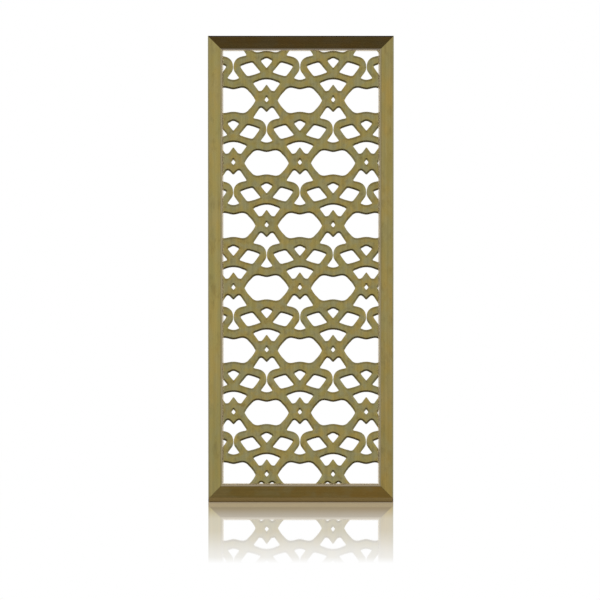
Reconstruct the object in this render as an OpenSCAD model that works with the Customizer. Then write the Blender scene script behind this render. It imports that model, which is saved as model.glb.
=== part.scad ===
// Decorative metal partition screen: a mitred hollow frame around one fretwork panel.
// Width runs along X, depth along Y with the front at -Y, and height along +Z.
// The origin is on the floor, under the middle of the screen.

/* [Frame] */
// Width of the whole screen
screen_w = 800; // [600:10:1000]
// Height of the whole screen
screen_h = 2014; // [1600:2:2400]
// Depth of the frame from its front arris to its back
frame_d = 50; // [44:1:70]
// Wall thickness of the hollow frame members
wall = 3; // [2:0.5:4]
// Chamfer on the outer front arris of the frame
arris_w = 6; // [3:0.5:8]
// Width of the sloping front face, seen from the front
bevel_w = 47; // [40:1:60]
// How far the sloping face falls back towards the panel
bevel_drop = 18; // [12:1:20]
// Step from the sloping face back to the lip
lip_step = 3; // [1:0.5:5]
// Width of the lip that covers the edge of the panel
lip_w = 8; // [6:1:16]
// Thickness of the lip
lip_t = 3; // [2:0.5:4]
// How far the groove behind the lip reaches under the sloping face
groove_reach = 5; // [3:0.5:8]
// Height of the flat foot under the bottom rail
foot_h = 14; // [14:1:40]
// Chamfer along the lower front arris of the foot
foot_arris_w = 4; // [3:0.5:10]
// Thickness of the caps that close the ends of the foot
foot_cap_t = 12; // [6:1:30]

/* [Panel] */
// Thickness of the fretwork panel
panel_t = 10; // [6:1:12]
// Gap between the panel edge and the frame, filled by packers
edge_gap = 3; // [2:0.5:4]
// Thickness of the sealing strip between lip and panel
gasket_t = 2; // [1:0.5:3]
// How far the sealing strip stays clear of the wall of the groove
gasket_margin = 1; // [0.5:0.5:2]
// How far the sealing strip shows past the edge of the lip
gasket_show = 5; // [0:0.5:6]
// How far the openings run on behind the lip, at the sides and at the top
pattern_bite = 2; // [1:0.5:4]
// Height of the plain strip between the edge of the bottom lip and the openings
bottom_border = 1; // [1:1:20]
// How much smaller each opening is cut all round than its drawn outline
opening_trim = 0.8; // [0:0.1:1.5]
// How much lower the slits sit that the top rail leaves of a row of openings
top_slit_drop = 8; // [0:0.5:9]
// How far an opening reaches below the top edge of the window at most to be such a slit
slit_depth = 20; // [10:1:25]
// Distance from one small diamond to the next in a row
motif_w = 287; // [240:1:330]
// Distance from one row of small diamonds to the next
row_h = 270; // [230:1:310]
// Height of the lowest row of small diamonds above the floor
first_row_z = 117; // [90:1:200]
// Sideways shift of the pattern from the middle of the screen
pattern_shift = -4; // [-60:1:60]

/* [Rear beads] */
// How far the beads stay back from the edge of the lip
bead_setback = 1; // [0.5:0.5:4]
// Distance from a frame corner to the first bead screw
bead_screw_first = 180; // [150:5:220]
// Number of screws in the top bead and in the bottom bead
rail_bead_screws = 3; // [2:1:5]
// Number of screws in each side bead
stile_bead_screws = 6; // [4:1:10]
// Shank diameter of the bead screws
bead_screw_d = 4; // [3:0.5:5]
// Length of the bead screws
bead_screw_len = 18; // [16:1:24]

/* [Corner keys] */
// Length of each leg of a corner key, from the outside of the frame
key_leg = 105; // [80:5:130]
// Distance from the frame corner to the first key screw
key_screw_first = 62; // [55:1:70]
// Distance from the first key screw to the second
key_screw_pitch = 30; // [15:1:40]
// Shank diameter of the key screws
key_screw_d = 5; // [4:0.5:6]
// Length of the key screws
key_screw_len = 16; // [12:1:20]

/* [Packers] */
// Length of a packer
packer_len = 60; // [30:5:100]
// Distance from a frame corner to the middle of the nearest packer
packer_inset = 230; // [150:5:280]

/* [Fixing inserts] */
// Bore diameter of a threaded insert, the core of an M8 thread
insert_bore = 6.8; // [5:0.1:9]
// Outer diameter of an insert's body
insert_d = 11; // [10:0.5:13]
// Flange diameter of an insert
insert_flange_d = 15; // [14:0.5:18]
// Flange thickness of an insert
insert_flange_t = 1.2; // [1:0.1:1.5]
// Length of an insert
insert_len = 13; // [10:0.5:13.5]
// Distance between the two inserts in the foot
floor_insert_pitch = 500; // [300:10:520]
// Distance between the two inserts in the top rail
ceiling_insert_pitch = 500; // [300:10:520]
// Distance between the two inserts in each stile
wall_insert_pitch = 1200; // [800:10:1300]

/* [Fits] */
// Clearance around the corner keys, the foot caps and the beads
slide_fit = 0.3; // [0.1:0.05:0.5]
// Clearance around screws and inserts
bore_fit = 0.1; // [0.05:0.05:0.3]

/* [Hidden] */

brass = [0.56, 0.50, 0.31];
rubber = [0.08, 0.08, 0.08];
clear_brown = [0.62, 0.54, 0.40];
zinc = [0.72, 0.73, 0.74];
cast_grey = [0.60, 0.61, 0.62];
nylon = [0.85, 0.84, 0.80];

bore_fn = 32;
// Cuts run this far past the faces that they open
past = 1;
// Side of the blocks that cut the mitres, larger than the screen
mitre_box = 2 * (screen_w + screen_h);
// Countersunk heads: their width in shanks, and the size and depth of their hexagon socket
head_ratio = 1.8;
socket_ratio = 0.75;
socket_depth = 0.8;

// The frame proper stands on the foot
frame_h = screen_h - foot_h;
frame_mid_z = foot_h + frame_h / 2;

// Section of a frame member: across from the outer side, back from the front
bevel_end = arris_w + bevel_w;
sight = bevel_end + lip_w;
lip_front = bevel_drop + lip_step;
lip_back = lip_front + lip_t;
rebate_wall = bevel_end - groove_reach;
tube_end = rebate_wall - wall;
panel_front = lip_back + gasket_t;
panel_back = panel_front + panel_t;
slope = bevel_drop / bevel_w;
chamfer_offset = arris_w + wall * sqrt(2);
bevel_offset = wall * sqrt(1 + slope * slope);
hollow_nose = (chamfer_offset + slope * arris_w - bevel_offset) / (1 + slope);
hollow_front = slope * (tube_end - arris_w) + bevel_offset;

// The bottom rail has no outer chamfer of its own, because its foot carries the front on down
function member_section(front_chamfer) =
    concat(front_chamfer == 0 ? [[0, frame_d], [0, 0]]
                              : [[0, frame_d], [0, front_chamfer], [front_chamfer, 0]],
           [[arris_w, 0], [bevel_end, bevel_drop], [bevel_end, lip_front], [sight, lip_front],
            [sight, lip_back], [rebate_wall, lip_back], [rebate_wall, frame_d]]);
hollow_section = [[wall, frame_d - wall], [wall, chamfer_offset - wall],
                  [hollow_nose, chamfer_offset - hollow_nose],
                  [tube_end, hollow_front], [tube_end, frame_d - wall]];
foot_section = [[-foot_h, frame_d], [-foot_h, foot_arris_w], [foot_arris_w - foot_h, 0],
                [0, 0], [0, frame_d]];
// Hollow of the foot, drawn in by a clearance for the caps that close it
foot_corner = foot_arris_w + wall * (sqrt(2) - 1);
function foot_hollow(fit) =
    [[wall + fit - foot_h, frame_d - wall - fit], [wall + fit - foot_h, foot_corner],
     [foot_corner - foot_h, wall + fit], [-fit, wall + fit], [-fit, frame_d - wall - fit]];

// Panel and its edge
panel_edge = rebate_wall + edge_gap;
open_w = screen_w - 2 * sight;

// Rear beads
bead_outer = rebate_wall + slide_fit;
bead_inner = sight - bead_setback;
bead_t = frame_d - panel_back;
bead_screw_v = panel_back + bead_t / 2;
bead_head_d = head_ratio * bead_screw_d;

// Corner keys
key_front = hollow_front + slide_fit;
key_back = frame_d - wall - slide_fit;
key_outer = wall + slide_fit;
key_inner = tube_end - slide_fit;
key_head_d = head_ratio * key_screw_d;
key_screw_u = (key_outer + key_inner) / 2;

// Fixing inserts sit in the middle of the frame's depth
insert_v = frame_d / 2;

// Openings of one motif, measured from its small diamond on a drawing whose
// diamonds are drawn_w apart and whose rows are drawn_h apart.
// Each corner is [across, up, rounding], and the last number bows the side after it.
drawn_w = 287;
drawn_h = 270;
diamond = [[0, 14.5, 1.5, 0], [11, 1.5, 3.5, 0], [0, -10, 2, 0], [-11, 1.5, 3.5, 0]];
kite = [[-18, 175.5, 4, 5.5], [18, 175.5, 4, 0], [25.5, 168, 5, 0.5],
        [0, 137, 2.5, 0.5], [-25.5, 168, 5, 0]];
fan = [[-45.5, 80, 3.5, 10], [45.5, 80, 3.5, 0], [58.5, 71.5, 2.5, 0], [34.5, 39, 2, 0],
       [21, 38.5, 7.5, 0], [0, 67, 2.5, 0], [-21, 38.5, 7.5, 0], [-34.5, 39, 2, 0],
       [-58.5, 71.5, 2.5, 0]];
tulip = [[-25, -26, 16, 0], [0, -51.5, 3, 0], [25, -26, 16, 0], [60, -78, 9, 0],
         [1.6, -89.5, 38, 0], [1.5, -141, 11.5, 0], [26, -174.5, 2.5, 0], [21, -178, 0.5, 5],
         [-21, -178, 0.5, 0], [-26, -174.5, 2.5, 0], [-1.5, -141, 11.5, 0],
         [-1.6, -89.5, 38, 0], [-60, -78, 9, 0]];
rhombus = [[61, 164, 8, 1], [116.5, 146, 9.5, 0.5], [83.5, 101, 10.5, 1], [24, 119.5, 6.5, 0]];
octagon = [[-97.5, -1.5, 6, 2], [-51.5, 58.5, 24, 0], [0, 46, 10, 0], [51.5, 58.5, 24, 2],
           [97.5, -1.5, 6, 2], [53.5, -59.5, 22.5, 0], [0, -49, 17, 0], [-53.5, -59.5, 22.5, 2]];

// Outlines with rounded corners and bowed sides
corner_chord = 4;
function unit(v) = v / norm(v);
function left_of(v) = [-v[1], v[0]];
function between(a, b, share) = a + (b - a) * share;
function corner_steps(cut) = min(6, ceil(cut / corner_chord));
function corner_points(before, at, after, cut) = cut == 0 ? [at] :
    let (a = at + unit(before - at) * cut, b = at + unit(after - at) * cut)
    [for (i = [0:corner_steps(cut)]) let (t = i / corner_steps(cut))
        between(between(a, at, t), between(at, b, t), t)];
function bow_steps(rise) = ceil(2 * sqrt(rise));
function bow_points(a, b, rise) = rise == 0 ? [] :
    [for (i = [1:bow_steps(rise) - 1]) let (t = i / bow_steps(rise))
        between(a, b, t) + left_of(unit(b - a)) * (4 * rise * t * (1 - t))];
function to_pitch(p) = [p[0] * motif_w / drawn_w, p[1] * row_h / drawn_h];
function outline(corners) =
    let (n = len(corners), at = [for (c = corners) to_pitch(c)])
    [for (i = [0:n - 1])
        let (here = at[i], next = at[(i + 1) % n], way = unit(next - here))
        each concat(corner_points(at[(i + n - 1) % n], here, next, corners[i][2]),
                    bow_points(here + way * corners[i][2],
                               next - way * corners[(i + 1) % n][2], corners[i][3]))];
function reversed(points) = [for (i = [len(points) - 1:-1:0]) points[i]];
function mirrored(points) = [for (p = points) [-p[0], p[1]]];
function shifted(points, by) = [for (p = points) p + by];
// Every outline runs anticlockwise once it is placed
motif_outlines = [reversed(outline(diamond)), reversed(outline(kite)), reversed(outline(fan)),
                  reversed(outline(tulip)), reversed(outline(rhombus)),
                  mirrored(outline(rhombus)),
                  shifted(reversed(outline(octagon)), [motif_w / 2, 0])];

// Window in the panel that the openings are cut from
window_w = open_w + 2 * pattern_bite;
window_low = foot_h + sight + bottom_border;
window_high = screen_h - sight + pattern_bite;
function shows(points) =
    max([for (p = points) p[0]]) > -window_w / 2 && min([for (p = points) p[0]]) < window_w / 2 &&
    max([for (p = points) p[1]]) > window_low && min([for (p = points) p[1]]) < window_high;

// Openings of which the top rail leaves only a slit
function is_slit(points) = min([for (p = points) p[1]]) > window_high - slit_depth;
function slit_shift(points) = is_slit(points) ? [0, -top_slit_drop] : [0, 0];

// Rows and columns of motifs that can reach the window
row_first = floor((window_low - first_row_z) / row_h) - 1;
row_last = ceil((window_high - first_row_z) / row_h) + 1;
col_reach = ceil((window_w / 2 + abs(pattern_shift)) / motif_w) + 1;
function motif_place(row, col) =
    [pattern_shift + motif_w * (col + (row % 2 == 0 ? 0.5 : 0)), first_row_z + row * row_h];

// Even places along a run, first and last at the inset
function spread(inset, run, count) =
    [for (i = [0:count - 1]) inset + (run - 2 * inset) * i / (count - 1)];

// A section drawn as [across, back] stands on z = 0 as an upright, with across along +X
module along_z(section, length) {
    linear_extrude(height = length)
        polygon([for (p = section) [p[0], p[1] - frame_d / 2]]);
}

// Moves a piece drawn as a left-hand upright to one side of the frame
module on_side(side) {
    if (side == "left")
        translate([-screen_w / 2, 0, foot_h]) children();
    if (side == "right")
        mirror([1, 0, 0]) translate([-screen_w / 2, 0, foot_h]) children();
    if (side == "top")
        translate([-screen_w / 2, 0, screen_h]) rotate([0, 90, 0]) children();
    if (side == "bottom")
        mirror([0, 0, 1]) translate([-screen_w / 2, 0, -foot_h]) rotate([0, 90, 0]) children();
}
function side_run(side) = side == "left" || side == "right" ? frame_h : screen_w;

// Cuts both ends of an upright at 45 degrees, rising from its outer side
module mitred(run) {
    difference() {
        children();
        rotate([0, -45, 0])
            translate([-mitre_box / 2, -mitre_box / 2, -mitre_box])
            cube([mitre_box, mitre_box, mitre_box]);
        translate([0, 0, run]) rotate([0, 45, 0])
            translate([-mitre_box / 2, -mitre_box / 2, 0])
            cube([mitre_box, mitre_box, mitre_box]);
    }
}

// Screw with a countersunk head: the head is at z = 0 and the point goes down
module countersunk_screw(d, head_d, length) {
    head_t = (head_d - d) / 2;
    difference() {
        union() {
            translate([0, 0, -head_t]) cylinder(d1 = d, d2 = head_d, h = head_t, $fn = bore_fn);
            translate([0, 0, -length]) cylinder(d = d, h = length - head_t, $fn = bore_fn);
        }
        translate([0, 0, -head_t * socket_depth])
            cylinder(d = d * socket_ratio, h = head_t, $fn = 6);
    }
}
module countersunk_hole(d, head_d, length) {
    head_t = (head_d - d) / 2;
    translate([0, 0, -head_t])
        cylinder(d1 = d + 2 * bore_fit, d2 = head_d + 2 * bore_fit, h = head_t, $fn = bore_fn);
    translate([0, 0, -length - past])
        cylinder(d = d + 2 * bore_fit, h = length + past, $fn = bore_fn);
    cylinder(d = head_d + 2 * bore_fit, h = past, $fn = bore_fn);
}

// Threaded insert with its flange at z = 0 and its body going up
module insert() {
    difference() {
        union() {
            cylinder(d = insert_flange_d, h = insert_flange_t, $fn = bore_fn);
            cylinder(d = insert_d, h = insert_len, $fn = bore_fn);
        }
        translate([0, 0, -past])
            cylinder(d = insert_bore, h = insert_len + 2 * past, $fn = bore_fn);
    }
}
module insert_hole() {
    translate([0, 0, -past])
        cylinder(d = insert_flange_d + 2 * bore_fit, h = insert_flange_t + past, $fn = bore_fn);
    cylinder(d = insert_d + 2 * bore_fit, h = wall + past, $fn = bore_fn);
}

// Puts a thing at each insert of one side, pointing into the member
module at_inserts(side) {
    if (side == "bottom")
        for (x = [-1, 1])
            translate([x * floor_insert_pitch / 2, insert_v - frame_d / 2, 0]) children();
    if (side == "top")
        for (x = [-1, 1])
            translate([x * ceiling_insert_pitch / 2, insert_v - frame_d / 2, screen_h])
                mirror([0, 0, 1]) children();
    if (side == "left")
        for (z = [-1, 1])
            translate([-screen_w / 2, insert_v - frame_d / 2,
                       frame_mid_z + z * wall_insert_pitch / 2]) rotate([0, 90, 0]) children();
    if (side == "right")
        mirror([1, 0, 0]) at_inserts("left") children();
}

// Places along one member of the screws that hold its bead
function bead_places(side) =
    spread(bead_screw_first, side_run(side),
           side == "left" || side == "right" ? stile_bead_screws : rail_bead_screws);

// Bead screws go outwards from the bead's inner side, drawn on an upright
module at_bead_screws(side) {
    for (s = bead_places(side))
        translate([bead_inner, bead_screw_v - frame_d / 2, s]) rotate([0, 90, 0]) children();
}

// Key screws come in from the back, two in each leg, drawn on an upright
module at_key_screws(side) {
    run = side_run(side);
    for (s = [key_screw_first, key_screw_first + key_screw_pitch])
        for (z = [s, run - s])
            translate([key_screw_u, frame_d / 2, z]) rotate([-90, 0, 0]) children();
}

// Frame member with its mitres and holes, drawn as an upright
module member(side) {
    run = side_run(side);
    difference() {
        mitred(run) difference() {
            along_z(member_section(side == "bottom" ? 0 : arris_w), run);
            translate([0, 0, -past]) along_z(hollow_section, run + 2 * past);
        }
        at_key_screws(side) countersunk_hole(key_screw_d, key_head_d, key_screw_len);
        at_bead_screws(side) countersunk_hole(bead_screw_d, bead_head_d, bead_screw_len);
    }
}

// The upright front corners of the foot and its caps carry on the chamfer of the stiles
module chamfer_foot_ends() {
    difference() {
        children();
        for (side = [0, 1]) mirror([side, 0, 0])
            translate([-screen_w / 2, -frame_d / 2, 0]) rotate([0, 0, 45])
            cube([arris_w * sqrt(2), arris_w * sqrt(2), 2 * (foot_h + 2 * arris_w)], center = true);
    }
}

module left_stile() {
    color(brass) difference() {
        on_side("left") member("left");
        at_inserts("left") insert_hole();
    }
}
module right_stile() {
    color(brass) difference() {
        on_side("right") member("right");
        at_inserts("right") insert_hole();
    }
}
module top_rail() {
    color(brass) difference() {
        on_side("top") member("top");
        at_inserts("top") insert_hole();
    }
}

module bottom_rail() {
    color(brass) difference() {
        chamfer_foot_ends() union() {
            on_side("bottom") member("bottom");
            on_side("bottom") difference() {
                along_z(foot_section, screen_w);
                translate([0, 0, -past]) along_z(foot_hollow(0), screen_w + 2 * past);
            }
        }
        at_inserts("bottom") insert_hole();
    }
}

module fret_panel() {
    color(brass)
        translate([0, panel_back - frame_d / 2, 0]) rotate([90, 0, 0])
        linear_extrude(height = panel_t)
        difference() {
            translate([panel_edge - screen_w / 2, foot_h + panel_edge])
                square([screen_w - 2 * panel_edge, frame_h - 2 * panel_edge]);
            intersection() {
                translate([-window_w / 2, window_low]) square([window_w, window_high - window_low]);
                union() {
                    for (row = [row_first:row_last], col = [-col_reach:col_reach])
                        for (opening = motif_outlines) {
                            points = shifted(opening, motif_place(row, col));
                            if (shows(points))
                                translate(slit_shift(points))
                                offset(delta = -opening_trim) polygon(points);
                        }
                }
            }
        }
}

// Sealing strip between the lip and the panel, with an edge that shows round the opening
module gasket(side) {
    near = rebate_wall + gasket_margin;
    far = sight + gasket_show;
    strip = [[near, lip_back], [far, lip_back], [far, panel_front], [near, panel_front]];
    color(clear_brown) on_side(side) mitred(side_run(side)) along_z(strip, side_run(side));
}
module left_gasket() { gasket("left"); }
module right_gasket() { gasket("right"); }
module top_gasket() { gasket("top"); }
module bottom_gasket() { gasket("bottom"); }

// Bead that holds the panel from behind
module stop_bead(side) {
    bar = [[bead_outer, panel_back], [bead_inner, panel_back],
           [bead_inner, frame_d], [bead_outer, frame_d]];
    color(brass) on_side(side) difference() {
        mitred(side_run(side)) along_z(bar, side_run(side));
        at_bead_screws(side) countersunk_hole(bead_screw_d, bead_head_d, bead_screw_len);
    }
}
module left_stop_bead() { stop_bead("left"); }
module right_stop_bead() { stop_bead("right"); }
module top_stop_bead() { stop_bead("top"); }
module bottom_stop_bead() { stop_bead("bottom"); }

module stop_bead_screws() {
    color(zinc) for (side = ["left", "right", "top", "bottom"])
        on_side(side) at_bead_screws(side)
            countersunk_screw(bead_screw_d, bead_head_d, bead_screw_len);
}

module panel_packers() {
    color(nylon) for (side = ["left", "right", "top", "bottom"])
        for (s = [packer_inset, side_run(side) - packer_inset])
            on_side(side)
                translate([rebate_wall, panel_front - frame_d / 2, s - packer_len / 2])
                cube([edge_gap, panel_t, packer_len]);
}

// Cast angle inside the hollows of two members, drawn for the lower left corner of a frame
module corner_key() {
    thick = key_back - key_front;
    translate([0, key_front - frame_d / 2, 0])
        difference() {
            union() {
                translate([key_outer, 0, key_outer])
                    cube([key_inner - key_outer, thick, key_leg - key_outer]);
                translate([key_outer, 0, key_outer])
                    cube([key_leg - key_outer, thick, key_inner - key_outer]);
            }
            for (s = [key_screw_first, key_screw_first + key_screw_pitch])
                for (at = [[key_screw_u, s], [s, key_screw_u]])
                    translate([at[0], thick + slide_fit + wall, at[1]]) rotate([90, 0, 0])
                    cylinder(d = key_screw_d + 2 * bore_fit, h = key_screw_len + past,
                             $fn = bore_fn);
        }
}
module at_low_left() { translate([-screen_w / 2, 0, foot_h]) children(); }
module at_high_left() { translate([-screen_w / 2, 0, screen_h]) mirror([0, 0, 1]) children(); }
module corner_key_top_left() { color(cast_grey) at_high_left() corner_key(); }
module corner_key_top_right() { color(cast_grey) mirror([1, 0, 0]) at_high_left() corner_key(); }
module corner_key_bottom_left() { color(cast_grey) at_low_left() corner_key(); }
module corner_key_bottom_right() { color(cast_grey) mirror([1, 0, 0]) at_low_left() corner_key(); }

module corner_key_screws() {
    color(zinc) for (side = ["left", "right", "top", "bottom"])
        on_side(side) at_key_screws(side)
            countersunk_screw(key_screw_d, key_head_d, key_screw_len);
}

// Plugs that close the two ends of the foot
module left_foot_cap() {
    color(rubber) chamfer_foot_ends()
        on_side("bottom") along_z(foot_hollow(slide_fit), foot_cap_t);
}
module right_foot_cap() {
    color(rubber) chamfer_foot_ends()
        on_side("bottom") translate([0, 0, screen_w - foot_cap_t])
        along_z(foot_hollow(slide_fit), foot_cap_t);
}

module floor_inserts() { color(zinc) at_inserts("bottom") insert(); }
module ceiling_inserts() { color(zinc) at_inserts("top") insert(); }
module left_wall_inserts() { color(zinc) at_inserts("left") insert(); }
module right_wall_inserts() { color(zinc) at_inserts("right") insert(); }

left_stile();
right_stile();
top_rail();
bottom_rail();
fret_panel();
left_gasket();
right_gasket();
top_gasket();
bottom_gasket();
left_stop_bead();
right_stop_bead();
top_stop_bead();
bottom_stop_bead();
stop_bead_screws();
panel_packers();
corner_key_top_left();
corner_key_top_right();
corner_key_bottom_left();
corner_key_bottom_right();
corner_key_screws();
left_foot_cap();
right_foot_cap();
floor_inserts();
ceiling_inserts();
left_wall_inserts();
right_wall_inserts();
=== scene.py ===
"""Looks of the decorative metal partition screen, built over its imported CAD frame.

Everything is in metres in the CAD frame: width along X, front at -Y, height along +Z.
"""

import math

import bmesh
import bpy
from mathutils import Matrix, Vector


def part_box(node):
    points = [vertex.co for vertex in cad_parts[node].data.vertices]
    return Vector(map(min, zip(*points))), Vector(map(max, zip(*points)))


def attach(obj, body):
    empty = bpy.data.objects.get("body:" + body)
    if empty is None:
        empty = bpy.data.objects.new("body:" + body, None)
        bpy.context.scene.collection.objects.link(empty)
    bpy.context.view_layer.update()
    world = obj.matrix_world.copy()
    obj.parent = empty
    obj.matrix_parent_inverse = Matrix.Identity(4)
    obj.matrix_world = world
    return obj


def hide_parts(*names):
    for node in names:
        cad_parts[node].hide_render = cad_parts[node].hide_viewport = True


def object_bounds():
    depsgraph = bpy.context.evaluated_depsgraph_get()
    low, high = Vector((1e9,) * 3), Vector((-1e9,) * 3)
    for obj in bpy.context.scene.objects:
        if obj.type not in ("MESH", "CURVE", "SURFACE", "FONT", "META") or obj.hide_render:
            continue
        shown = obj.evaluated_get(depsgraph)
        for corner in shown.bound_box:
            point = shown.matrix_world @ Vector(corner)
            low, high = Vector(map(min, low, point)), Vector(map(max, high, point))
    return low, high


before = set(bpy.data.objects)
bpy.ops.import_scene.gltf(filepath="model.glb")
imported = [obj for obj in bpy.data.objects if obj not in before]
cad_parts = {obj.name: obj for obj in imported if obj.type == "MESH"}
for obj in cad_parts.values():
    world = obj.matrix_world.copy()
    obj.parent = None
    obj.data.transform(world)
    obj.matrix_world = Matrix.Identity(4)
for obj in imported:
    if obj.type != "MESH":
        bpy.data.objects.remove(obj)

cad_low, cad_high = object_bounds()

# Vertices nearer to each other than this are one
WELD = 1e-5

# The chamfer round the front of every opening of the fretwork, and how far its corners may
# reach from the outline, at an opening and at the panel's own edge
CHAMFER_W = 0.0080
CHAMFER_DEPTH = 0.0025
LONGEST_MITRE = 0.0150
PANEL_ARRIS = 0.0010

# How far arrises are rounded off: on the stiles and the bottom rail, the top rail, the beads
ARRIS_ROUND = 0.0008
TOP_ROUND = 0.0003
BEAD_ROUND = 0.0005

# The shortest and the flattest edge that counts as an arris
SHORTEST_ARRIS = 0.030
FLATTEST_ARRIS = math.radians(15)

# Faces that turn less than this from each other make one flat face, or one soft curve
FLATTEST_BEND = math.radians(1)
CRISPEST_CURVE = math.radians(14)

# How squarely a face looks along Y: at least, on the panel's front, and at most, on a wall
FRONT_FACING = 0.9
WALL_FACING = 0.1

# The stiles stand on the foot. The opening is between them and the rails, with a lip round it
# and a slope outside the lip
FOOT_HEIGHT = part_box("left_stile")[0].z
OPENING_HALF_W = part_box("right_stile")[0].x
OPENING_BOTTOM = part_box("bottom_rail")[1].z
OPENING_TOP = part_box("top_rail")[0].z
OPENING_HALF_H = (OPENING_TOP - OPENING_BOTTOM) / 2
OPENING_MIDDLE = (OPENING_TOP + OPENING_BOTTOM) / 2
LIP_W = 0.008
SLOPE_W = 0.047

# Width in which the tone of one part of the frame's profile gives way to the next
TONE_STEP = 0.0004

# How far the grain is drawn out, along uprights and along level members
UPRIGHT_RUN = (1.0, 1.0, 0.012)
LEVEL_RUN = (0.012, 1.0, 1.0)

# How far the clouds of the patina are drawn out, on uprights, level members and the panel
UPRIGHT_CLOUDS = (1.0, 1.0, 0.45)
LEVEL_CLOUDS = (0.6, 1.0, 1.0)
PANEL_CLOUDS = (1.0, 1.0, 1.0)

# How rough the brass is, and how much bloom and stain show on it
FRAME_AGE = {"roughness": 0.30, "bloom": 0.25, "stains": 0.25}
PANEL_AGE = {"roughness": 0.27, "bloom": 0.65, "stains": 0.35}

# How much its scratches change the roughness of the brass, and how much rougher its stains are
SCRATCH_SPREAD = 0.05
STAIN_DULLNESS = 0.06

# Handling polishes the brass: how far in from an edge, and how brightly
WORN_REACH = 0.0015
WORN_POLISH = 0.3

# Painted shade along the foot, near the floor: how far it climbs the rail above, how ragged its
# edge is, how it fades, and how much metal shows in it
FLOOR_SHADE_CLIMB = 0.005
FLOOR_SHADE_RAGGED = 0.002
FLOOR_SHADE_FADE = 0.003
FLOOR_SHADE_METAL = 0.5

# The sealing strip, whose see-through brown paints the frame's soft shadow round the openings: how
# much light each of its faces stops, and how pearly its skin is
STRIP_ALPHA = 0.45
STRIP_PEARL = 0.6

# The rubber: its roughness, how much its grain changes that, its grain, and its chalky bloom
RUBBER_ROUGHNESS = 0.5
RUBBER_SPREAD = 0.08
RUBBER_GRAIN = 0.0012
RUBBER_CHALK = 1.8

# Most values of a noise texture lie between these
NOISE_LOW = 0.3
NOISE_HIGH = 0.7

# The photograph: its width in pixels, and the screen's width and place in it
PHOTO_PIXELS = 600
SCREEN_PIXELS = 185.2
SCREEN_MIDDLE_PIXEL = 300.8
FOOT_PIXEL = 502.2

# The camera stands far back and a little higher than the middle of the screen. Its sensor is
# in millimetres
CAMERA_DISTANCE = 20.0
CAMERA_ELEVATION = math.radians(3)
SENSOR = 36.0

# The floor: its size, its polish, how pale it is and how soft its mirror image
FLOOR_SIZE = 400.0
FLOOR_IOR = 1.5
FLOOR_PALE = (0.8, 0.8, 0.8, 1)
FLOOR_ROUGHNESS = 0.02

# How far off the floor mirrors, how much at shares of that distance, and how much of each colour
MIRROR_REACH = 2.42
MIRROR_FADE = [
    (0.00, 1.00),
    (0.12, 1.00),
    (0.29, 0.72),
    (0.50, 0.69),
    (0.64, 0.56),
    (0.78, 0.39),
    (0.91, 0.27),
    (1.00, 0.00),
]
MIRROR_TINT = (1.25, 1.32, 1.44)

# Light round the screen by height above the horizon: the sine of the height and the colour
SURROUNDINGS = [
    (-1.00, (0.33, 0.28, 0.31)),
    (-0.76, (0.33, 0.28, 0.31)),
    (-0.60, (0.07, 0.06, 0.05)),
    (-0.48, (0.12, 0.11, 0.10)),
    (-0.34, (0.75, 0.74, 0.72)),
    (-0.20, (0.95, 0.95, 0.95)),
    (0.00, (1.00, 1.00, 1.00)),
    (0.34, (1.00, 1.00, 1.00)),
    (0.58, (0.56, 0.53, 0.50)),
    (0.72, (0.34, 0.27, 0.20)),
    (0.84, (0.34, 0.27, 0.20)),
    (0.94, (0.09, 0.08, 0.07)),
    (1.00, (0.07, 0.06, 0.06)),
]

# Two soft lamps stand in front of the screen, one to each side
SOFTBOX_ASIDE = 3.2
SOFTBOX_FORWARDS = 3.2
SOFTBOX_UP = 1.05
SOFTBOX_W = 2.4
SOFTBOX_H = 1.8
SOFTBOX_BRIGHTNESS = 0.22


# Node helpers

def feed(tree, node, inputs):
    """Gives each named or numbered socket of a node a value or a link."""
    for socket, value in inputs.items():
        if isinstance(value, bpy.types.NodeSocket):
            tree.links.new(value, node.inputs[socket])
        else:
            node.inputs[socket].default_value = value


def add(tree, kind, inputs=None, **settings):
    """One node with its settings made and its inputs fed."""
    made = tree.nodes.new("ShaderNode" + kind)
    for name, value in settings.items():
        setattr(made, name, value)
    feed(tree, made, inputs or {})
    return made


def maths(tree, operation, a, b=0.0):
    return add(tree, "Math", {0: a, 1: b}, operation=operation).outputs[0]


def vector_maths(tree, operation, a, b=(0, 0, 0)):
    made = add(tree, "VectorMath", {0: a, 1: b}, operation=operation)
    return made.outputs["Value" if operation in ("LENGTH", "DOT_PRODUCT") else "Vector"]


def scale_colour(tree, colour, share):
    return add(tree, "VectorMath", {0: colour, "Scale": share}, operation="SCALE").outputs[0]


def blend_colours(tree, share, a, b):
    made = add(tree, "Mix", {0: share, 6: a, 7: b}, data_type="RGBA")
    return made.outputs[2]


def stretch(tree, value, low, high, to_low=0.0, to_high=1.0):
    """Maps low..high to to_low..to_high and stops at both ends."""
    made = add(tree, "MapRange", {0: value, 1: low, 2: high, 3: to_low, 4: to_high})
    return made.outputs[0]


def between(tree, share, at_none, at_full):
    """A value that goes from at_none, where the share is 0, to at_full, where it is 1."""
    return stretch(tree, share, 0.0, 1.0, at_none, at_full)


def noise(tree, vector, scale, detail=2.0, rough=0.5):
    made = add(tree, "TexNoise", {"Vector": vector, "Scale": scale, "Detail": detail,
                                  "Roughness": rough})
    return made.outputs["Fac"]


def vary(tree, grain, least, most):
    """A value between least and most that follows the noise of a grain."""
    return stretch(tree, grain, NOISE_LOW, NOISE_HIGH, least, most)


def patches(tree, vector, scale, low, high, detail=2.0, rough=0.5):
    """Patches with soft edges: 0 where noise is below low, and 1 where it is above high."""
    return stretch(tree, noise(tree, vector, scale, detail, rough), low, high)


def relief(tree, height, strength, distance):
    """The normal of a skin with fine relief."""
    made = add(tree, "Bump", {"Strength": strength, "Distance": distance, "Height": height})
    return made.outputs[0]


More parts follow.
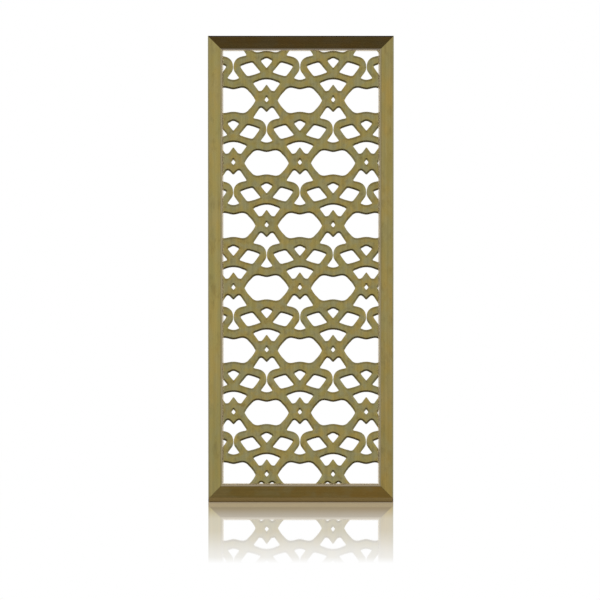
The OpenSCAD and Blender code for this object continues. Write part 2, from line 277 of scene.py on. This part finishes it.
def colour_ramp(tree, value, points):
    """Colours blended along a value from 0 to 1. points lists (value, colour), first 0, last 1."""
    ramp = add(tree, "ValToRGB", {0: value})
    elements = ramp.color_ramp.elements
    for at, colour in points[1:-1]:
        elements.new(at)
    for element, (at, colour) in zip(elements, points):
        element.position = at
        element.color = (*colour, 1.0)
    return ramp.outputs["Color"]


def new_group(name, takes, gives):
    """An empty node group. takes lists (socket name, kind, default), gives (name, kind)."""
    group = bpy.data.node_groups.new(name, "ShaderNodeTree")
    for socket, kind, default in takes:
        made = group.interface.new_socket(socket, in_out="INPUT", socket_type="NodeSocket" + kind)
        if default is not None:
            made.default_value = default
    for socket, kind in gives:
        group.interface.new_socket(socket, in_out="OUTPUT", socket_type="NodeSocket" + kind)
    return group, group.nodes.new("NodeGroupInput").outputs, group.nodes.new("NodeGroupOutput")


def use_group(tree, group, inputs):
    made = tree.nodes.new("ShaderNodeGroup")
    made.node_tree = group
    feed(tree, made, inputs)
    return made.outputs


def new_material(name):
    """A material with its Principled shader and the place on the piece to feed it from."""
    material = bpy.data.materials.new(name)
    material.use_nodes = True
    tree = material.node_tree
    shader = next(node for node in tree.nodes if node.type == "BSDF_PRINCIPLED")
    place = add(tree, "TexCoord").outputs["Object"]
    return material, tree, shader, place


def emptied_tree(owner):
    """The node tree of a new material or world, with nothing in it."""
    owner.use_nodes = True
    owner.node_tree.nodes.clear()
    return owner.node_tree


# Effects that several finishes share

def make_brushing_group():
    """Fine scratches that run one way, over broader soft streaks."""
    group, given, result = new_group(
        "brushing",
        [("Vector", "Vector", None), ("Run", "Vector", (1, 1, 1))],
        [("Scratches", "Float"), ("Streaks", "Float")])
    along = vector_maths(group, "MULTIPLY", given["Vector"], given["Run"])
    feed(group, result, {
        "Scratches": noise(group, along, scale=1400, detail=3, rough=0.6),
        "Streaks": noise(group, along, scale=95, detail=2, rough=0.55)})
    return group


def make_patina_group():
    """Aged brass: olive and ochre clouds, a greyish bloom over them, and darker stains."""
    group, given, result = new_group(
        "patina",
        [("Vector", "Vector", None), ("Olive", "Color", (0, 0, 0, 1)),
         ("Ochre", "Color", (0, 0, 0, 1)), ("Bloom", "Color", (0, 0, 0, 1)),
         ("Stain", "Color", (0, 0, 0, 1)), ("Bloom amount", "Float", 0.5),
         ("Stain amount", "Float", 0.3)],
        [("Color", "Color"), ("Dullness", "Float")])
    place = given["Vector"]
    clouds = patches(group, place, scale=9, low=0.38, high=0.62, detail=3, rough=0.6)
    bloom = patches(group, place, scale=26, low=0.42, high=0.60)
    stains = patches(group, place, scale=34, low=0.52, high=0.72, detail=4, rough=0.65)
    tint = blend_colours(group, clouds, given["Olive"], given["Ochre"])
    bloomed = blend_colours(group, maths(group, "MULTIPLY", bloom, given["Bloom amount"]),
                            tint, given["Bloom"])
    stained = blend_colours(group, maths(group, "MULTIPLY", stains, given["Stain amount"]),
                            bloomed, given["Stain"])
    feed(group, result, {"Color": stained, "Dullness": stains})
    return group


def make_floor_shade_group():
    """Painted shade along the foot, near the floor, with a ragged edge: 1 near the floor and 0
    above it.
    """
    group, given, result = new_group(
        "floor_shade",
        [("Vector", "Vector", None), ("Height", "Float", 0.02)],
        [("Mask", "Float")])
    height = add(group, "SeparateXYZ", {0: given["Vector"]}).outputs["Z"]
    grain = noise(group, given["Vector"], scale=60, detail=2, rough=0.6)
    ragged = maths(group, "ADD", height, vary(group, grain, -FLOOR_SHADE_RAGGED, FLOOR_SHADE_RAGGED))
    above = maths(group, "SUBTRACT", ragged, given["Height"])
    feed(group, result, {"Mask": stretch(group, above, 0.0, FLOOR_SHADE_FADE, 1.0, 0.0)})
    return group


def make_profile_group():
    """Which part of the frame's profile a point is on, to place painted light and shade there: the
    outer arris, or the lip and how near it is to the opening."""
    group, given, result = new_group(
        "profile",
        [("Vector", "Vector", None)],
        [("On arris", "Float"), ("On lip", "Float"), ("Nearness", "Float")])
    place = add(group, "SeparateXYZ", {0: given["Vector"]}).outputs
    middle = maths(group, "SUBTRACT", place["Z"], OPENING_MIDDLE)
    beside = maths(group, "SUBTRACT", maths(group, "ABSOLUTE", place["X"]), OPENING_HALF_W)
    above = maths(group, "SUBTRACT", maths(group, "ABSOLUTE", middle), OPENING_HALF_H)
    outwards = maths(group, "MAXIMUM", beside, above)
    slope_end = LIP_W + SLOPE_W
    feed(group, result, {
        "On arris": stretch(group, outwards, slope_end, slope_end + TONE_STEP),
        "On lip": stretch(group, outwards, LIP_W, LIP_W - TONE_STEP),
        "Nearness": stretch(group, outwards, LIP_W, 0.0)})
    return group


def make_worn_edge_group():
    """Where handling has polished the arrises: 1 on an edge and 0 on a flat face."""
    group, given, result = new_group(
        "worn_edge",
        [("Reach", "Float", 0.001)],
        [("Mask", "Float")])
    rounded = add(group, "Bevel", {"Radius": given["Reach"]}, samples=4).outputs[0]
    straight = add(group, "NewGeometry").outputs["Normal"]
    likeness = vector_maths(group, "DOT_PRODUCT", rounded, straight)
    feed(group, result, {"Mask": stretch(group, likeness, low=0.99, high=0.85)})
    return group


brushing = make_brushing_group()
patina = make_patina_group()
floor_shade = make_floor_shade_group()
profile = make_profile_group()
worn_edge = make_worn_edge_group()


# Colours

def srgb(red, green, blue):
    """A colour as it is seen on screen, 0 to 255, as the linear colour a shader takes."""
    def linear(value):
        share = value / 255
        return share / 12.92 if share <= 0.04045 else ((share + 0.055) / 1.055) ** 2.4
    return linear(red), linear(green), linear(blue), 1.0


# The brass where it is olive and where it is ochre. The copies for the right stile and the rails
# are toned darker as painted shade, standing for the light that falls less on them
PLAIN_TINTS = srgb(146, 136, 83), srgb(155, 137, 79)
RIGHT_STILE_SHADED_TINTS = srgb(141, 128, 76), srgb(152, 131, 73)
TOP_RAIL_SHADED_TINTS = srgb(139, 124, 71), srgb(148, 125, 68)
BOTTOM_RAIL_SHADED_TINTS = srgb(132, 114, 62), srgb(140, 115, 59)

BLOOMED_BRASS = srgb(141, 138, 104)
STAINED_BRASS = srgb(102, 84, 49)
# The brass in the painted shade along the foot, near the floor
FLOOR_SHADED_BRASS = srgb(127, 105, 55)
POLISHED_BRASS = srgb(166, 153, 106)

# Painted light and shade on the profile, one set per length of the frame: the brass of the outer
# arris, of the lip beside the slope (painted shadow under the top rail) and of the lip at the
# opening (a pale painted glow)
STILE_PAINTED_LIGHT_AND_SHADE = srgb(141, 133, 94), srgb(146, 134, 98), srgb(162, 150, 120)
TOP_PAINTED_LIGHT_AND_SHADE = srgb(125, 110, 86), srgb(70, 59, 40), srgb(152, 141, 124)
BOTTOM_PAINTED_LIGHT_AND_SHADE = srgb(128, 106, 60), srgb(152, 138, 110), srgb(172, 160, 138)

# The sealing strip's see-through brown, a painted shadow of the frame round the openings
STRIP_SHADOW_BROWN = srgb(218, 198, 152)
STRIP_SHADOW_CLOUDY_BROWN = srgb(210, 189, 143)
BLACK_RUBBER = srgb(30, 29, 28)
GREY_ZINC = srgb(186, 189, 193)
BRIGHT_ZINC = srgb(206, 208, 210)
DULL_ZINC = srgb(150, 148, 140)
DARK_ALLOY = srgb(150, 152, 155)
LIGHT_ALLOY = srgb(172, 174, 176)
MILKY_NYLON = srgb(218, 213, 200)
PALE_NYLON = srgb(228, 224, 214)


# Finishes

def brass(name, run, clouds, tints, age, painted_light_and_shade=None):
    """Antique brass, brushed one way, stained in patches, polished on its edges and darkened by
    painted shade near the floor; given tones for the profile, it also paints light and shade onto
    the outer arris and the lip.
    """
    material, tree, shader, place = new_material(name)
    grain = use_group(tree, brushing, {"Vector": place, "Run": run})
    olive, ochre = tints
    aged = use_group(tree, patina, {
        "Vector": vector_maths(tree, "MULTIPLY", place, clouds),
        "Olive": olive, "Ochre": ochre, "Bloom": BLOOMED_BRASS, "Stain": STAINED_BRASS,
        "Bloom amount": age["bloom"], "Stain amount": age["stains"]})
    tone = aged["Color"]
    # Painted light and shade on the profile: a tone for the outer arris, and tones for the lip
    # that blend across it towards the opening
    if painted_light_and_shade:
        arris_painted_tone, lip_slope_side_painted_tone, lip_opening_side_painted_tone = painted_light_and_shade
        part = use_group(tree, profile, {"Vector": place})
        lip_painted_tone = blend_colours(tree, part["Nearness"], lip_slope_side_painted_tone, lip_opening_side_painted_tone)
        tone = blend_colours(tree, part["On lip"], tone, lip_painted_tone)
        tone = blend_colours(tree, part["On arris"], tone, arris_painted_tone)
    streaked = scale_colour(tree, tone, vary(tree, grain["Streaks"], 0.9, 1.08))
    edge = use_group(tree, worn_edge, {"Reach": WORN_REACH})["Mask"]
    polish = maths(tree, "MULTIPLY", edge, WORN_POLISH)
    polished = blend_colours(tree, polish, streaked, POLISHED_BRASS)
    # Painted shade along the foot, where the frame meets the floor
    floor_shade_mask = use_group(tree, floor_shade, {
        "Vector": place, "Height": FOOT_HEIGHT + FLOOR_SHADE_CLIMB})["Mask"]
    scratched = vary(tree, grain["Scratches"], age["roughness"] - SCRATCH_SPREAD,
                     age["roughness"] + SCRATCH_SPREAD)
    dulled = maths(tree, "MULTIPLY", aged["Dullness"], STAIN_DULLNESS)
    feed(tree, shader, {
        "Base Color": blend_colours(tree, floor_shade_mask, polished, FLOOR_SHADED_BRASS),
        "Metallic": between(tree, floor_shade_mask, 1.0, FLOOR_SHADE_METAL),
        "Roughness": maths(tree, "ADD", scratched, dulled),
        "Normal": relief(tree, grain["Scratches"], strength=0.15, distance=0.0002)})
    return material


def rubber(name):
    """Moulded black rubber with a fine pebbled skin and a chalky bloom."""
    material, tree, shader, place = new_material(name)
    skin = noise(tree, place, scale=1 / RUBBER_GRAIN, detail=3, rough=0.6)
    bloom = patches(tree, place, scale=60, low=0.4, high=0.7)
    chalky = (*(RUBBER_CHALK * part for part in BLACK_RUBBER[:3]), 1.0)
    feed(tree, shader, {
        "Base Color": blend_colours(tree, bloom, BLACK_RUBBER, chalky),
        "Roughness": vary(tree, skin, RUBBER_ROUGHNESS - RUBBER_SPREAD,
                          RUBBER_ROUGHNESS + RUBBER_SPREAD),
        "Normal": relief(tree, skin, strength=0.3, distance=0.0003)})
    return material


def painted_shadow_strip(name):
    """Soft sealing strip with a pearly skin, faintly cloudy, that lets some light through; its
    see-through brown is a painted shadow of the frame over the openings' edges.
    """
    material, tree, shader, place = new_material(name)
    cloud = patches(tree, place, scale=45, low=0.35, high=0.65)
    feed(tree, shader, {
        "Base Color": blend_colours(tree, cloud, STRIP_SHADOW_BROWN, STRIP_SHADOW_CLOUDY_BROWN),
        "Roughness": between(tree, cloud, 0.32, 0.42),
        "Metallic": STRIP_PEARL,
        "Alpha": STRIP_ALPHA})
    return material


def plated_steel(name):
    """Zinc-plated steel with a faint spangle and dull patches."""
    material, tree, shader, place = new_material(name)
    spangle = add(tree, "TexVoronoi", {"Vector": place, "Scale": 900.0}).outputs["Color"]
    facets = add(tree, "SeparateColor", {0: spangle}).outputs[0]
    dull = patches(tree, place, scale=260, low=0.4, high=0.65, detail=3, rough=0.6)
    bright = blend_colours(tree, facets, GREY_ZINC, BRIGHT_ZINC)
    half_dull = maths(tree, "MULTIPLY", dull, 0.5)
    feed(tree, shader, {
        "Base Color": blend_colours(tree, half_dull, bright, DULL_ZINC),
        "Roughness": between(tree, dull, 0.28, 0.45),
        "Metallic": 1.0})
    return material


def cast_alloy(name):
    """Die-cast alloy with the sandy skin of its mould."""
    material, tree, shader, place = new_material(name)
    skin = noise(tree, place, scale=1100, detail=4, rough=0.65)
    flow = patches(tree, place, scale=45, low=0.35, high=0.65, detail=3)
    feed(tree, shader, {
        "Base Color": blend_colours(tree, flow, DARK_ALLOY, LIGHT_ALLOY),
        "Roughness": vary(tree, skin, 0.42, 0.6),
        "Metallic": 1.0,
        "Normal": relief(tree, skin, strength=0.5, distance=0.0003)})
    return material


def nylon(name):
    """Milky nylon with faint flow marks."""
    material, tree, shader, place = new_material(name)
    flow = patches(tree, place, scale=120, low=0.35, high=0.65)
    feed(tree, shader, {
        "Base Color": blend_colours(tree, flow, MILKY_NYLON, PALE_NYLON),
        "Roughness": between(tree, flow, 0.38, 0.48),
        "Subsurface Weight": 0.1})
    return material


# The right stile's and the rails' copies of the brass are darker by painted shade
left_brass = brass("brass_left_stile", UPRIGHT_RUN, UPRIGHT_CLOUDS, PLAIN_TINTS, FRAME_AGE,
                   STILE_PAINTED_LIGHT_AND_SHADE)
right_brass = brass("brass_right_stile", UPRIGHT_RUN, UPRIGHT_CLOUDS, RIGHT_STILE_SHADED_TINTS, FRAME_AGE,
                    STILE_PAINTED_LIGHT_AND_SHADE)
top_brass = brass("brass_top_rail", LEVEL_RUN, LEVEL_CLOUDS, TOP_RAIL_SHADED_TINTS, FRAME_AGE, TOP_PAINTED_LIGHT_AND_SHADE)
bottom_brass = brass("brass_bottom_rail", LEVEL_RUN, LEVEL_CLOUDS, BOTTOM_RAIL_SHADED_TINTS, FRAME_AGE,
                     BOTTOM_PAINTED_LIGHT_AND_SHADE)
upright_bead_brass = brass("brass_upright_beads", UPRIGHT_RUN, UPRIGHT_CLOUDS, PLAIN_TINTS,
                           FRAME_AGE)
level_bead_brass = brass("brass_level_beads", LEVEL_RUN, LEVEL_CLOUDS, PLAIN_TINTS, FRAME_AGE)
panel_brass = brass("brass_fretwork", UPRIGHT_RUN, PANEL_CLOUDS, PLAIN_TINTS, PANEL_AGE)
seal_painted_shadow = painted_shadow_strip("seal_painted_shadow")
cap_rubber = rubber("rubber_cap")
screw_steel = plated_steel("steel_zinc_plated")
key_alloy = cast_alloy("alloy_cast")
packer_nylon = nylon("nylon_packer")


# Pieces

def copy_of(node):
    """The node's shape as a bmesh with its loose triangles joined."""
    shape = bmesh.new()
    shape.from_mesh(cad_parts[node].data)
    bmesh.ops.remove_doubles(shape, verts=shape.verts, dist=WELD)
    return shape


def finish_piece(shape, name, node, material):
    """Makes the bmesh a piece that stands for the node, with soft curves and crisp corners."""
    for face in shape.faces:
        face.smooth = True
    for edge in shape.edges:
        edge.smooth = edge.is_manifold and edge.calc_face_angle(0) < CRISPEST_CURVE
    mesh = bpy.data.meshes.new(name)
    shape.to_mesh(mesh)
    shape.free()
    mesh.materials.append(material)
    piece = bpy.data.objects.new(name, mesh)
    bpy.context.scene.collection.objects.link(piece)
    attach(piece, "root")
    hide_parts(node)


def soften_arrises(node, round_off, material):
    """A length of the frame, or a bead, with its long arrises and its mitres lightly rounded."""
    shape = copy_of(node)
    bmesh.ops.dissolve_limit(shape, angle_limit=FLATTEST_BEND, verts=shape.verts,
                             edges=shape.edges)
    arrises = [edge for edge in shape.edges
               if edge.is_manifold and edge.calc_face_angle() > FLATTEST_ARRIS
               and edge.calc_length() > SHORTEST_ARRIS]
    bmesh.ops.bevel(shape, geom=arrises, offset=round_off, offset_type="OFFSET", segments=2,
                    profile=0.5, affect="EDGES", clamp_overlap=True, material=-1)
    bmesh.ops.dissolve_degenerate(shape, edges=shape.edges, dist=WELD)
    finish_piece(shape, node + "_softened", node, material)


def is_inside(point, low, high):
    """Whether a point of the panel lies within its outer edge."""
    return (low.x + WELD < point.x < high.x - WELD) and (low.z + WELD < point.z < high.z - WELD)


def partners(shape, outline, front):
    """The chamfer's inner vertex for each vertex of the outline."""
    pairs = {}
    for edge in shape.edges:
        outer = [vert for vert in edge.verts if vert in outline]
        inner = [vert for vert in edge.verts if vert not in outline]
        if len(inner) == 1 and abs(inner[0].co.y - front) < WELD:
            pairs[outer[0]] = inner[0]
    return pairs


def meeting_point(start, along, other, other_along):
    """Where two lines in the panel's face meet."""
    turn = along.x * other_along.z - along.z * other_along.x
    gap = other - start
    share = (gap.x * other_along.z - gap.z * other_along.x) / turn
    return start + along * share


def join_crossed(shape, outline, front):
    """Brings the chamfer to one point where a narrow tip of metal makes its sides cross."""
    inner = partners(shape, outline, front)
    joined = {}
    for edge in shape.edges:
        first, last = edge.verts
        if first not in inner or last not in inner:
            continue
        # Where nothing has crossed, the chamfer still runs the same way as its outline
        if (inner[last].co - inner[first].co).dot(last.co - first.co) >= 0:
            continue
        before, after = [next(other.other_vert(vert) for other in vert.link_edges
                              if other != edge and other.other_vert(vert) in inner)
                         for vert in (first, last)]
        tip = meeting_point(inner[first].co, first.co - before.co,
                            inner[last].co, last.co - after.co)
        inner[first].co = inner[last].co = tip
        joined[inner[first]] = inner[last]
    bmesh.ops.weld_verts(shape, targetmap=joined)


def trim_mitres(shape, outline, low, high):
    """Keeps each corner of the chamfer near its outline, and the panel's own arris small."""
    for outer, inner in partners(shape, outline, low.y).items():
        longest = LONGEST_MITRE if is_inside(outer.co, low, high) else PANEL_ARRIS
        reach = inner.co - outer.co
        if reach.length > longest:
            inner.co = outer.co + reach.normalized() * longest


def chamfer_panel():
    """The fretwork with a chamfer round the front of every opening."""
    low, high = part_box("fret_panel")
    shape = copy_of("fret_panel")
    front = [face for face in shape.faces if face.normal.y < -FRONT_FACING]
    bmesh.ops.inset_region(shape, faces=front, use_boundary=True, use_even_offset=True,
                           thickness=CHAMFER_W, depth=0)
    outline = [vert for vert in shape.verts
               if abs(vert.co.y - low.y) < WELD
               and any(abs(face.normal.y) < WALL_FACING for face in vert.link_faces)]
    openings = [vert for vert in outline if is_inside(vert.co, low, high)]
    join_crossed(shape, set(openings), low.y)
    trim_mitres(shape, set(outline), low, high)
    bmesh.ops.translate(shape, verts=openings, vec=(0, CHAMFER_DEPTH, 0))
    finish_piece(shape, "fret_panel_chamfered", "fret_panel", panel_brass)


def dress(node, material):
    """Gives a CAD node its finish."""
    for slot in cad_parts[node].material_slots:
        slot.material = material


# Studio

def add_camera():
    """A long lens, square to the screen, framed as the photograph is. It aims at the point of
    the upright plane through the screen's middle that the middle of the photograph shows."""
    metres_per_pixel = (cad_high.x - cad_low.x) / SCREEN_PIXELS
    aim = Vector((
        (PHOTO_PIXELS / 2 - SCREEN_MIDDLE_PIXEL) * metres_per_pixel,
        0,
        (FOOT_PIXEL - PHOTO_PIXELS / 2) * metres_per_pixel / math.cos(CAMERA_ELEVATION),
    ))
    back = Vector((0, -math.cos(CAMERA_ELEVATION), math.sin(CAMERA_ELEVATION)))
    camera = bpy.data.objects.new("camera", bpy.data.cameras.new("camera"))
    bpy.context.scene.collection.objects.link(camera)
    camera.location = aim + back * CAMERA_DISTANCE
    camera.rotation_euler = (-back).to_track_quat("-Z", "Y").to_euler()
    camera.data.sensor_width = SENSOR
    camera.data.lens = SENSOR * CAMERA_DISTANCE / (PHOTO_PIXELS * metres_per_pixel)
    camera.data.clip_end = FLOOR_SIZE
    bpy.context.scene.camera = camera


def add_surroundings():
    """White to the camera, and round the screen a bright band with dimmer ceiling and floor."""
    world = bpy.data.worlds.new("studio")
    bpy.context.scene.world = world
    tree = emptied_tree(world)
    direction = add(tree, "TexCoord").outputs["Generated"]
    height = add(tree, "SeparateXYZ", {0: direction}).outputs["Z"]
    around = colour_ramp(tree, stretch(tree, height, -1.0, 1.0),
                         [((at + 1) / 2, colour) for at, colour in SURROUNDINGS])
    seen = add(tree, "LightPath").outputs["Is Camera Ray"]
    colour = blend_colours(tree, seen, around, (1, 1, 1, 1))
    light = add(tree, "Background", {"Color": colour, "Strength": 1.0}).outputs[0]
    add(tree, "OutputWorld", {"Surface": light})


def polished_floor(name):
    """Pale polish that mirrors what stands near and looks white further off."""
    material = bpy.data.materials.new(name)
    tree = emptied_tree(material)
    place = add(tree, "TexCoord").outputs["Object"]
    beside = vector_maths(tree, "SUBTRACT", vector_maths(tree, "ABSOLUTE", place),
                          (cad_high.x, cad_high.y, 0))
    away = vector_maths(tree, "LENGTH", vector_maths(tree, "MAXIMUM", beside))
    near = colour_ramp(tree, maths(tree, "DIVIDE", away, MIRROR_REACH),
                       [(at, (share, share, share)) for at, share in MIRROR_FADE])
    sheen = add(tree, "Fresnel", {"IOR": FLOOR_IOR}).outputs[0]
    mirrored = scale_colour(tree, MIRROR_TINT, maths(tree, "MULTIPLY", near, sheen))
    # The white is less by what the gloss mirrors, so that white mirrored in it stays white
    rest = vector_maths(tree, "SUBTRACT", (1, 1, 1), mirrored)
    white = add(tree, "Emission", {"Color": rest, "Strength": 1.0}).outputs[0]
    pale = add(tree, "BsdfDiffuse", {"Color": FLOOR_PALE}).outputs[0]
    gloss = add(tree, "BsdfAnisotropic", {"Color": mirrored, "Roughness": FLOOR_ROUGHNESS})
    seen = add(tree, "LightPath").outputs["Is Camera Ray"]
    plain = add(tree, "MixShader", {0: seen, 1: pale, 2: white}).outputs[0]
    surface = add(tree, "AddShader", {0: plain, 1: gloss.outputs[0]}).outputs[0]
    add(tree, "OutputMaterial", {"Surface": surface})
    return material


def add_floor():
    """A wide floor that the screen stands on and that doesn't show in the brass."""
    mesh = bpy.data.meshes.new("floor")
    shape = bmesh.new()
    bmesh.ops.create_grid(shape, x_segments=1, y_segments=1, size=FLOOR_SIZE / 2)
    shape.to_mesh(mesh)
    shape.free()
    floor = bpy.data.objects.new("floor", mesh)
    bpy.context.scene.collection.objects.link(floor)
    floor.visible_glossy = False
    mesh.materials.append(polished_floor("floor_polished"))


def add_softbox(name, place):
    """A flat soft lamp that faces the middle of the screen."""
    lamp = bpy.data.lights.new(name, "AREA")
    lamp.shape = "RECTANGLE"
    lamp.size = SOFTBOX_W
    lamp.size_y = SOFTBOX_H
    lamp.energy = SOFTBOX_BRIGHTNESS * math.pi * SOFTBOX_W * SOFTBOX_H
    softbox = bpy.data.objects.new(name, lamp)
    bpy.context.scene.collection.objects.link(softbox)
    softbox.location = place
    middle = (cad_low + cad_high) / 2
    softbox.rotation_euler = (middle - place).to_track_quat("-Z", "Y").to_euler()


add_camera()
add_surroundings()
add_floor()
for name, side in (("softbox_left", -1), ("softbox_right", 1)):
    add_softbox(name, Vector((side * SOFTBOX_ASIDE, -SOFTBOX_FORWARDS, SOFTBOX_UP)))

soften_arrises("left_stile", ARRIS_ROUND, left_brass)
soften_arrises("right_stile", ARRIS_ROUND, right_brass)
soften_arrises("top_rail", TOP_ROUND, top_brass)
soften_arrises("bottom_rail", ARRIS_ROUND, bottom_brass)
for node in ("left_stop_bead", "right_stop_bead"):
    soften_arrises(node, BEAD_ROUND, upright_bead_brass)
for node in ("top_stop_bead", "bottom_stop_bead"):
    soften_arrises(node, BEAD_ROUND, level_bead_brass)
chamfer_panel()

for node in ("left_gasket", "right_gasket", "top_gasket", "bottom_gasket"):
    dress(node, seal_painted_shadow)
for node in ("left_foot_cap", "right_foot_cap"):
    dress(node, cap_rubber)
for node in ("stop_bead_screws", "corner_key_screws", "floor_inserts", "ceiling_inserts",
             "left_wall_inserts", "right_wall_inserts"):
    dress(node, screw_steel)
for node in ("corner_key_top_left", "corner_key_top_right", "corner_key_bottom_left",
             "corner_key_bottom_right"):
    dress(node, key_alloy)
dress("panel_packers", packer_nylon)

bpy.context.scene.view_settings.view_transform = "Standard"
